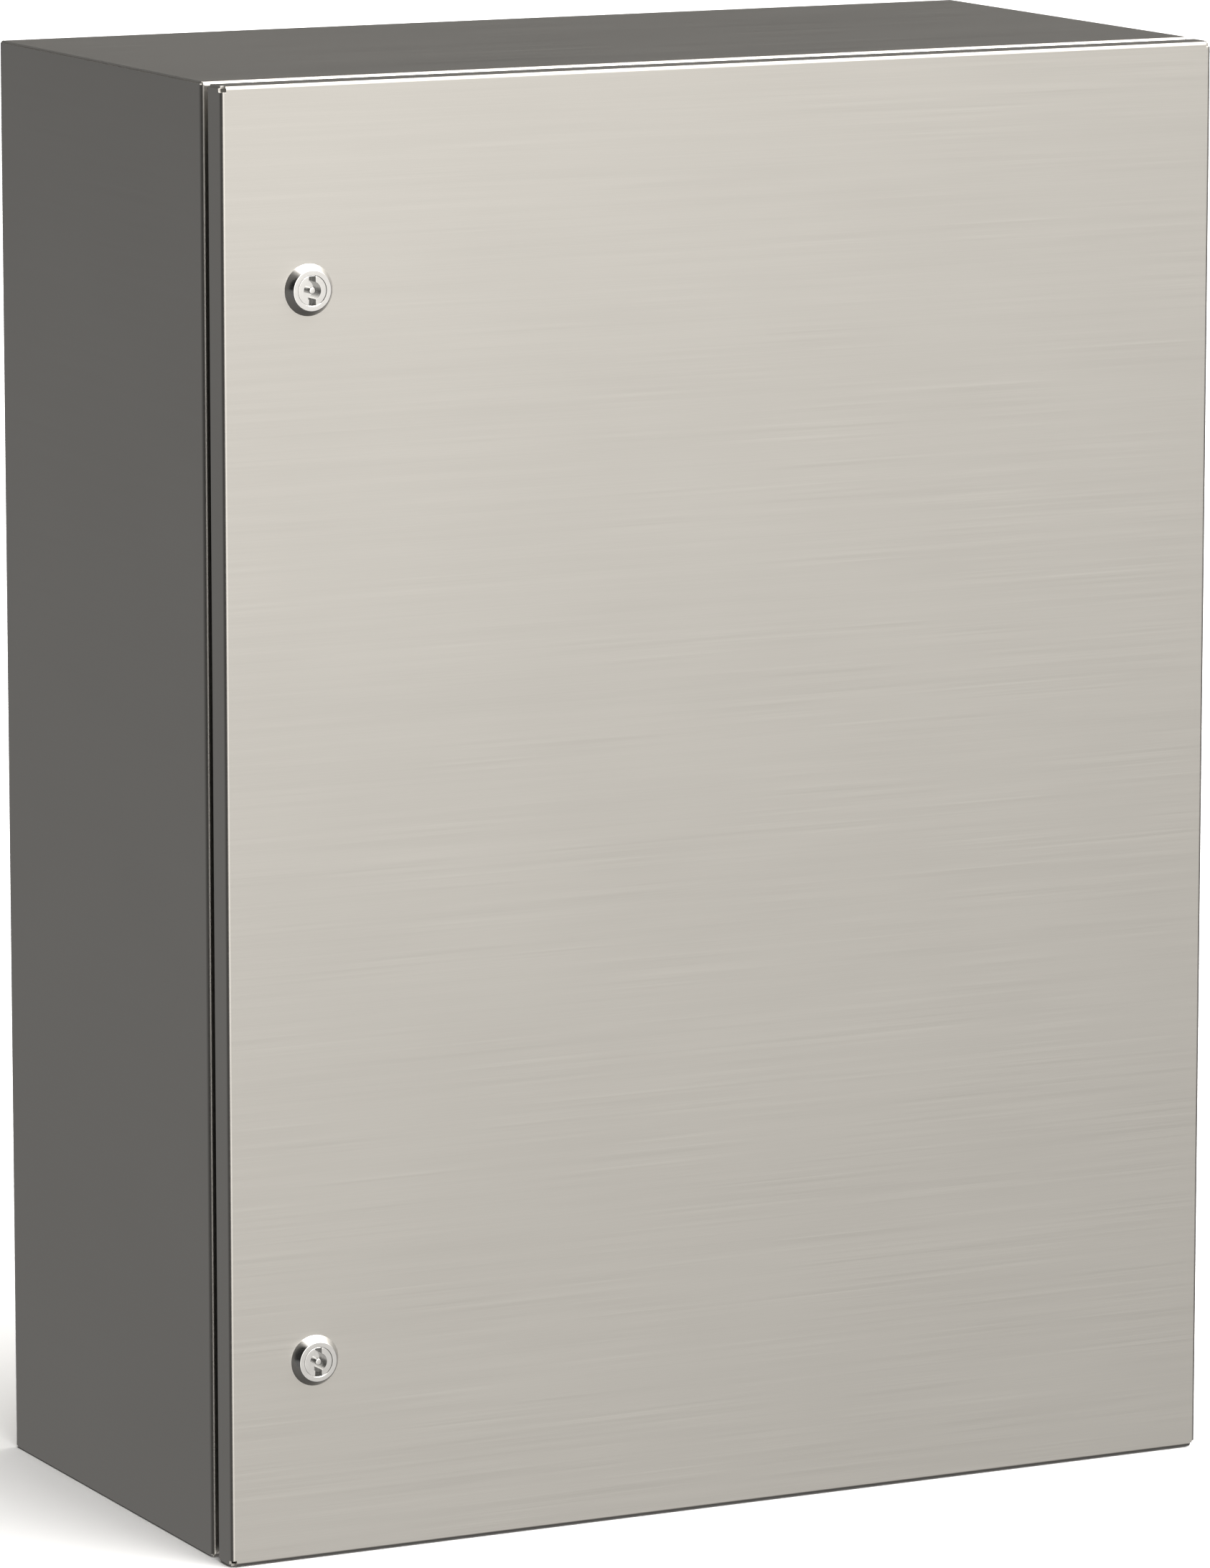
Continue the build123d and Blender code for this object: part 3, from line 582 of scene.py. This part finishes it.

# Lock plugs: chromed zinc, a wide front and a slimmer shank, with a recess for a double-bit key round a
# centre pin, and a square tang behind that carries the cam. The recess's walls get a dark painted shade for
# the shadow inside the recess.
plug_radius = 0.00825
shank_radius = 0.006
key_radius = 0.005
key_slot = (0.004, 0.0156)
key_depth = 0.005
key_pin = 0.00175
tang = 0.007
tang_length = 0.003
tang_root = 0.0005
step_gap = 0.0002
overshoot = 0.001
# Painted shade: a dark colour for the recess walls, standing in for the shadow inside the key recess.
recess_painted_shade = (0.3, 0.3, 0.295)
plug_chrome_painted_shade = metal_finish("chromed_plug_painted_shade", *chrome_look, recess_painted_shade)
for lock, centre in lock_places.items():
    low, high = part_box(f"{lock}_lock_plug")
    front = door_low.y - low.y
    tang_end = door_low.y - high.y
    shoulder = tang_end + tang_length
    plug = turned(f"{lock}_plug", [
        (0, front, 0), (plug_radius, front, 0.0004), (plug_radius, front - plug_step + step_gap, 0),
        (shank_radius, front - plug_step + step_gap, 0), (shank_radius, shoulder, 0.0003), (0, shoulder, 0),
    ])
    combine(plug, block(
        "tang", (-tang / 2, -tang / 2, tang_end), (tang / 2, tang / 2, shoulder + tang_root),
    ), "UNION")
    recess_end = front - key_depth
    recess = turned("recess", [
        (0, front + overshoot, 0), (key_radius, front + overshoot, 0), (key_radius, recess_end, 0),
        (0, recess_end, 0),
    ])
    combine(recess, block(
        "slot", (-key_slot[0] / 2, -key_slot[1] / 2, recess_end),
        (key_slot[0] / 2, key_slot[1] / 2, front + overshoot),
    ), "UNION")
    combine(recess, turned("pin", [
        (0, front, 0), (key_pin, front, 0.0003), (key_pin, recess_end - overshoot, 0),
        (0, recess_end - overshoot, 0),
    ], steps=48), "DIFFERENCE")
    combine(plug, recess, "DIFFERENCE")
    stand(plug, (centre.x, door_low.y, centre.z), (0, -1, 0))
    complete(plug, f"{lock}_lock", [f"{lock}_lock_plug"], plug_chrome_painted_shade, edge_break=0.00012)

# Lock rings and nuts: a rubber ring against the door's inner face, then a broad flat hexagon nut of zinc
# plated steel on the barrel's thread.
def hexagon_nut(name, flats, thickness, bore):
    """A hexagon nut that stands on the XY plane, its corners turned down at both ends and its bore eased."""
    deselect()
    bpy.ops.mesh.primitive_cylinder_add(
        vertices=6, radius=flats / math.sqrt(3), depth=thickness, location=(0, 0, thickness / 2)
    )
    nut = bpy.context.object
    nut.name = name
    bpy.ops.object.transform_apply(location=True, rotation=True, scale=True)
    corner = flats / math.sqrt(3) * 1.001
    flat_end = flats * 0.48
    fall = (corner - flat_end) * math.tan(math.radians(30))
    combine(nut, turned("turning", [
        (0, 0, 0), (flat_end, 0, 0), (corner, fall, 0), (corner, thickness - fall, 0),
        (flat_end, thickness, 0), (0, thickness, 0),
    ], steps=64), "INTERSECT")
    ease = bore * 0.12
    combine(nut, turned("bore", [
        (0, -overshoot, 0), (bore + ease + overshoot, -overshoot, 0), (bore, ease, 0),
        (bore, thickness - ease, 0), (bore + ease + overshoot, thickness + overshoot, 0),
        (0, thickness + overshoot, 0),
    ], steps=48), "DIFFERENCE")
    return nut


def washer(name, outer, inner, thickness, rounding):
    """A flat ring that stands on the XY plane, with its edges rounded by the punch."""
    return turned(name, [
        (inner, 0, 0), (outer, 0, 0), (outer, thickness, rounding), (inner, thickness, rounding),
    ], steps=64)


def copies(name, model, seats, direction):
    """One object of a model and its copies, each on its own seat, in place of the model."""
    made = []
    for seat in seats:
        copy = model.copy()
        copy.data = model.data.copy()
        scene.collection.objects.link(copy)
        made.append(stand(copy, seat, direction))
    bpy.data.objects.remove(model)
    deselect()
    for copy in made:
        copy.select_set(True)
    bpy.context.view_layer.objects.active = made[0]
    if len(made) > 1:
        bpy.ops.object.join()
    made[0].name = name
    return made[0]


zinc = metal_finish("zinc_plate", (0.58, 0.595, 0.615), (0.7, 0.71, 0.72), 0.27, 0.07, 160, 1800, 0.000003)


def rubber_finish(name, dark, light, roughness, grain, depth):
    """Rubber or foam: nearly black, dull, with an uneven pored skin."""
    finish, nodes, links, shader, place = new_finish(name, roughness, metallic=0)
    pores = noise(nodes, links, place, (grain, grain, grain), detail=3)
    drift = noise(nodes, links, place, (60, 60, 60), detail=3)
    colour = blend_colours(nodes, links, spread(nodes, links, drift, 0, 1), dark, light)
    links.new(colour, shader.inputs["Base Color"])
    links.new(spread(nodes, links, pores, roughness - 0.1, roughness + 0.1), shader.inputs["Roughness"])
    bump(nodes, links, shader, pores, depth)
    return finish


seal_rubber = rubber_finish("seal_rubber", (0.012, 0.012, 0.013), (0.028, 0.028, 0.03), 0.55, 900, 0.00002)
seal_low, seal_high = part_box("lock_seals")
nut_low, nut_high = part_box("lock_nuts")
ring_radius = (seal_high.x - seal_low.x) / 2
ring_seats = [(centre.x, seal_low.y, centre.z) for centre in lock_places.values()]
ring = washer("ring", ring_radius, barrel_radius, seal_high.y - seal_low.y, 0.0003)
rings = copies("lock_rings", ring, ring_seats, (0, 1, 0))
complete(rings, "door", ["lock_seals"], seal_rubber, edge_break=0)
nut_seats = [(centre.x, nut_low.y, centre.z) for centre in lock_places.values()]
lock_nut_flats = 0.027
lock_nut = hexagon_nut("nut", lock_nut_flats, nut_high.y - nut_low.y, barrel_radius)
lock_nuts = copies("lock_hexagons", lock_nut, nut_seats, (0, 1, 0))
complete(lock_nuts, "door", ["lock_nuts"], zinc, edge_break=0, smooth_angle=25)


# Lock cams: cranked strips of zinc plated steel with rounded corners, punched square for the tang. Their
# edges are worn smooth where they slide behind the body's front flange.
def refined(node, piece_name, body, finish, edge_break, smooth_angle=35):
    """A copy of a CAD node's shape with its triangles merged into faces and its edges broken."""
    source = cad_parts[node]
    piece = source.copy()
    piece.data = source.data.copy()
    piece.name = piece_name
    scene.collection.objects.link(piece)
    deselect()
    bpy.context.view_layer.objects.active = piece
    piece.select_set(True)
    bpy.ops.object.mode_set(mode="EDIT")
    bpy.ops.mesh.select_all(action="SELECT")
    bpy.ops.mesh.remove_doubles(threshold=1e-6)
    bpy.ops.mesh.dissolve_limited(angle_limit=math.radians(0.5))
    bpy.ops.object.mode_set(mode="OBJECT")
    complete(piece, body, [node], finish, edge_break, smooth_angle)
    return piece


for lock in lock_places:
    refined(f"{lock}_lock_cam", f"{lock}_cam", f"{lock}_lock", zinc, 0.0003)

# Cam screws: zinc plated pan heads with a hexagon socket, driven into the end of the tang.
socket_flats = 0.003
cam_socket = 0.0036
cam_screw_radius = 0.0024
cam_screw_head = 0.0025


def cut_socket(screw, head_top, depth):
    """Cuts a hexagon socket, centred on the top of its head, into a screw that stands on the XY plane."""
    deselect()
    bpy.ops.mesh.primitive_cylinder_add(
        vertices=6, radius=socket_flats / math.sqrt(3), depth=depth, location=(0, 0, head_top)
    )
    bpy.ops.object.transform_apply(location=True, rotation=True, scale=True)
    combine(screw, bpy.context.object, "DIFFERENCE")


for lock, centre in lock_places.items():
    low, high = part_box(f"{lock}_cam_screw")
    head_radius = (high.x - low.x) / 2
    head_seat = high.y - cam_screw_head
    screw = turned(f"{lock}_cam_fixing", [
        (0, 0, 0), (cam_screw_radius, 0, 0.0002), (cam_screw_radius, head_seat - low.y, 0),
        (head_radius, head_seat - low.y, 0.0002), (head_radius, high.y - low.y, 0.0011),
        (0, high.y - low.y, 0),
    ], steps=48)
    cut_socket(screw, high.y - low.y, cam_socket)
    stand(screw, (centre.x, low.y, centre.z), (0, 1, 0))
    complete(screw, f"{lock}_lock", [f"{lock}_cam_screw"], zinc, edge_break=0.0001)

# Foam gasket: grey-black polyurethane foam, poured in one run on the door's inner face, with a closed
# skin and a softly domed top that meets the body's lip.
foam = rubber_finish("foam_skin", (0.02, 0.02, 0.021), (0.045, 0.045, 0.047), 0.75, 1400, 0.00006)
refined("door_gasket", "foam_strip", "door", foam, 0, smooth_angle=60)

# Door rails: Z-shaped strips of stainless sheet with a row of punched holes, spot welded to the door.
mill_steel = metal_finish(
    "mill_stainless", (0.52, 0.51, 0.495), (0.62, 0.61, 0.59), 0.36, 0.06, 90, 2200, 0.000004,
)
for side in ("left", "right"):
    refined(f"{side}_door_rail", f"{side}_rail", "door", mill_steel, 0.00012)

# Hinges: tumbled cast leaves that interlock in knuckles, on a plain pin with a low domed head.
tumbled = metal_finish("tumbled_zinc", (0.4, 0.4, 0.405), (0.52, 0.52, 0.525), 0.42, 0.08, 300, 1500, 0.00001)
pin_radius = 0.0025
pin_head = 0.0015
for place in ("upper", "lower"):
    refined(f"{place}_hinge_body_leaf", f"{place}_body_leaf", "enclosure", tumbled, 0.0003)
    refined(f"{place}_hinge_door_leaf", f"{place}_door_leaf", "door", tumbled, 0.0003)
    low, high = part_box(f"{place}_hinge_pin")
    length = high.z - low.z
    pin = turned(f"{place}_pin", [
        (0, 0, 0), (pin_radius, 0, 0.0006), (pin_radius, length - pin_head, 0),
        ((high.x - low.x) / 2, length - pin_head, 0.0002), ((high.x - low.x) / 2, length, 0.001),
        (0, length, 0),
    ], steps=48)
    stand(pin, ((low.x + high.x) / 2, (low.y + high.y) / 2, low.z), (0, 0, 1))
    complete(pin, "door", [f"{place}_hinge_pin"], mill_steel, edge_break=0)

# Hinge screws and nuts: M5, zinc plated, with low heads and hexagon sockets, through the body leaf and
# the front flange.
low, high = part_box("hinge_screws")
screw_head_radius = 0.0045
screw_head = 0.002
hinge_socket = 0.003
m5_radius = 0.0025
m5_pitch = 0.0008
plain_shank = 0.003
screw_chamfer = 0.0003
screw_length = high.y - low.y
screw = turned("screw", [
    (0, 0, 0), (m5_radius - screw_chamfer, 0, 0),
    *thread(m5_radius, screw_chamfer, screw_length - screw_head - plain_shank, m5_pitch),
    (m5_radius, screw_length - screw_head, 0), (screw_head_radius, screw_length - screw_head, 0.0002),
    (screw_head_radius, screw_length, 0.0008), (0, screw_length, 0),
], steps=32)
cut_socket(screw, screw_length, hinge_socket)


def spots(node, radius, across, along, first="x", second="z"):
    """The middles of a node's like pieces, evenly spaced in two directions between its ends."""
    low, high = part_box(node)
    middles = []
    for i in range(across):
        for j in range(along):
            middle = (low + high) / 2
            for axis, count, step in ((first, across, i), (second, along, j)):
                start, end = getattr(low, axis) + radius, getattr(high, axis) - radius
                setattr(middle, axis, start if count == 1 else start + (end - start) * step / (count - 1))
            middles.append(middle)
    return middles


hinge_levels = [
    (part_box(f"{place}_hinge_body_leaf")[0].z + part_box(f"{place}_hinge_body_leaf")[1].z) / 2
    for place in ("upper", "lower")
]
screw_spread = high.z - screw_head_radius - max(hinge_levels)
screw_x = (low.x + high.x) / 2
hinge_spots = [(screw_x, level + side * screw_spread) for level in hinge_levels for side in (-1, 1)]
screws = copies("hinge_fixings", screw, [(x, high.y, z) for x, z in hinge_spots], (0, -1, 0))
complete(screws, "enclosure", ["hinge_screws"], zinc, edge_break=0)
low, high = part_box("hinge_nuts")
m5_flats = 0.008
hinge_nut = hexagon_nut("nut", m5_flats, high.y - low.y, m5_radius)
nuts = copies("hinge_hexagons", hinge_nut, [(x, low.y, z) for x, z in hinge_spots], (0, 1, 0))
complete(nuts, "enclosure", ["hinge_nuts"], zinc, edge_break=0, smooth_angle=25)


# Studs: stainless weld studs, threaded almost to the sheet that they stand on, with a chamfered end.
def weld_stud(name, radius, length, pitch):
    """A threaded stud that stands on the XY plane."""
    plain_foot, plain_end, chamfer = 0.0012, 0.0008, 0.0009
    return turned(name, [
        (0, 0, 0), (radius, 0, 0), *thread(radius, plain_foot, length - plain_end, pitch),
        (radius - chamfer, length, 0), (0, length, 0),
    ], steps=32)


m8_radius, m8_pitch = 0.004, 0.00125
m6_radius, m6_pitch = 0.003, 0.001
up, forwards, backwards = (0, 0, 1), (0, -1, 0), (0, 1, 0)
stud_groups = {
    "gland_studs": (m6_radius, m6_pitch, up, (3, 2, "x", "y"), "enclosure"),
    "plate_studs": (m8_radius, m8_pitch, forwards, (2, 2, "x", "z"), "enclosure"),
    "body_earth_stud": (m8_radius, m8_pitch, up, (1, 1, "x", "y"), "enclosure"),
    "door_earth_stud": (m8_radius, m8_pitch, backwards, (1, 1, "x", "z"), "door"),
}


def seated(node, radius, direction, rows):
    """The seats of a node's like pieces, on the side that they stand up from."""
    low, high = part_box(node)
    seats = spots(node, radius, *rows)
    for seat in seats:
        if direction == up:
            seat.z = low.z
        else:
            seat.y = high.y if direction == forwards else low.y
    length = (high - low).dot(Vector([abs(part) for part in direction]))
    return seats, length


for node, (radius, pitch, direction, rows, body_name) in stud_groups.items():
    seats, length = seated(node, radius, direction, rows)
    studs = copies(f"{node}_threaded", weld_stud("stud", radius, length, pitch), seats, direction)
    complete(studs, body_name, [node], mill_steel, edge_break=0)

# Washers, spacers and nuts: zinc plated, one set on each stud.
ring_groups = {
    "gland_washers": (0.006, m6_radius, up, (3, 2, "x", "y"), "enclosure"),
    "plate_washers": (0.008, m8_radius, forwards, (2, 2, "x", "z"), "enclosure"),
    "plate_spacers": (0.008, m8_radius, forwards, (2, 2, "x", "z"), "enclosure"),
    "body_earth_washer": (0.008, m8_radius, up, (1, 1, "x", "y"), "enclosure"),
    "door_earth_washer": (0.008, m8_radius, backwards, (1, 1, "x", "z"), "door"),
}
stud_clearance = 0.0004
for node, (outer, inner, direction, rows, body_name) in ring_groups.items():
    seats, thickness = seated(node, outer, direction, rows)
    ring = washer("ring", outer, inner + stud_clearance, thickness, 0.00025)
    rings = copies(f"{node}_rings", ring, seats, direction)
    complete(rings, body_name, [node], zinc, edge_break=0)
nut_groups = {
    "gland_nuts": (0.01, m6_radius, up, (3, 2, "x", "y"), "enclosure"),
    "plate_nuts": (0.013, m8_radius, forwards, (2, 2, "x", "z"), "enclosure"),
    "body_earth_nut": (0.013, m8_radius, up, (1, 1, "x", "y"), "enclosure"),
    "door_earth_nut": (0.013, m8_radius, backwards, (1, 1, "x", "z"), "door"),
}
for node, (flats, inner, direction, rows, body_name) in nut_groups.items():
    stud_node = node.replace("nuts", "studs").replace("nut", "stud")
    stud_seats, _ = seated(stud_node, inner, direction, rows)
    seats, thickness = seated(node, inner, direction, rows)
    for seat, stud_seat in zip(seats, stud_seats):
        if direction == up:
            seat.x, seat.y = stud_seat.x, stud_seat.y
        else:
            seat.x, seat.z = stud_seat.x, stud_seat.z
    nuts = copies(f"{node}_hexagons", hexagon_nut("nut", flats, thickness, inner), seats, direction)
    complete(nuts, body_name, [node], zinc, edge_break=0, smooth_angle=25)


# Mounting plate: galvanised sheet, with the frosty spangle of the zinc bath.
def spangled_finish(name, dark, light, roughness, grain):
    """Hot-dip zinc: crystals of slightly different tone and sheen."""
    finish, nodes, links, shader, place = new_finish(name, roughness)
    crystals = nodes.new("ShaderNodeTexVoronoi")
    crystals.inputs["Scale"].default_value = grain
    warped = nodes.new("ShaderNodeTexNoise")
    warped.inputs["Scale"].default_value = grain * 1.5
    offset = nodes.new("ShaderNodeVectorMath")
    offset.operation = "SCALE"
    offset.inputs["Scale"].default_value = 0.004
    links.new(place, warped.inputs["Vector"])
    links.new(warped.outputs["Color"], offset.inputs[0])
    shifted = nodes.new("ShaderNodeVectorMath")
    links.new(place, shifted.inputs[0])
    links.new(offset.outputs["Vector"], shifted.inputs[1])
    links.new(shifted.outputs["Vector"], crystals.inputs["Vector"])
    tone = nodes.new("ShaderNodeSeparateColor")
    links.new(crystals.outputs["Color"], tone.inputs["Color"])
    links.new(blend_colours(nodes, links, tone.outputs["Red"], dark, light), shader.inputs["Base Color"])
    sheen = spread(nodes, links, tone.outputs["Green"], roughness - 0.08, roughness + 0.08, 0, 1)
    links.new(sheen, shader.inputs["Roughness"])
    bump(nodes, links, shader, tone.outputs["Blue"], 0.000003)
    return finish


galvanised = spangled_finish("galvanised_spangle", (0.55, 0.565, 0.58), (0.66, 0.675, 0.69), 0.36, 110)
refined("mounting_plate", "switchgear_plate", "enclosure", galvanised, 0.0002)

# Gland plate and gasket: a zinc plated cover for cable glands, on a frame cut from sheet rubber.
gland_rubber = rubber_finish("cut_rubber", (0.014, 0.014, 0.015), (0.03, 0.03, 0.032), 0.6, 700, 0.00003)
refined("gland_plate", "gland_cover", "enclosure", zinc, 0.0002)
refined("gland_gasket", "gland_frame", "enclosure", gland_rubber, 0.0001)
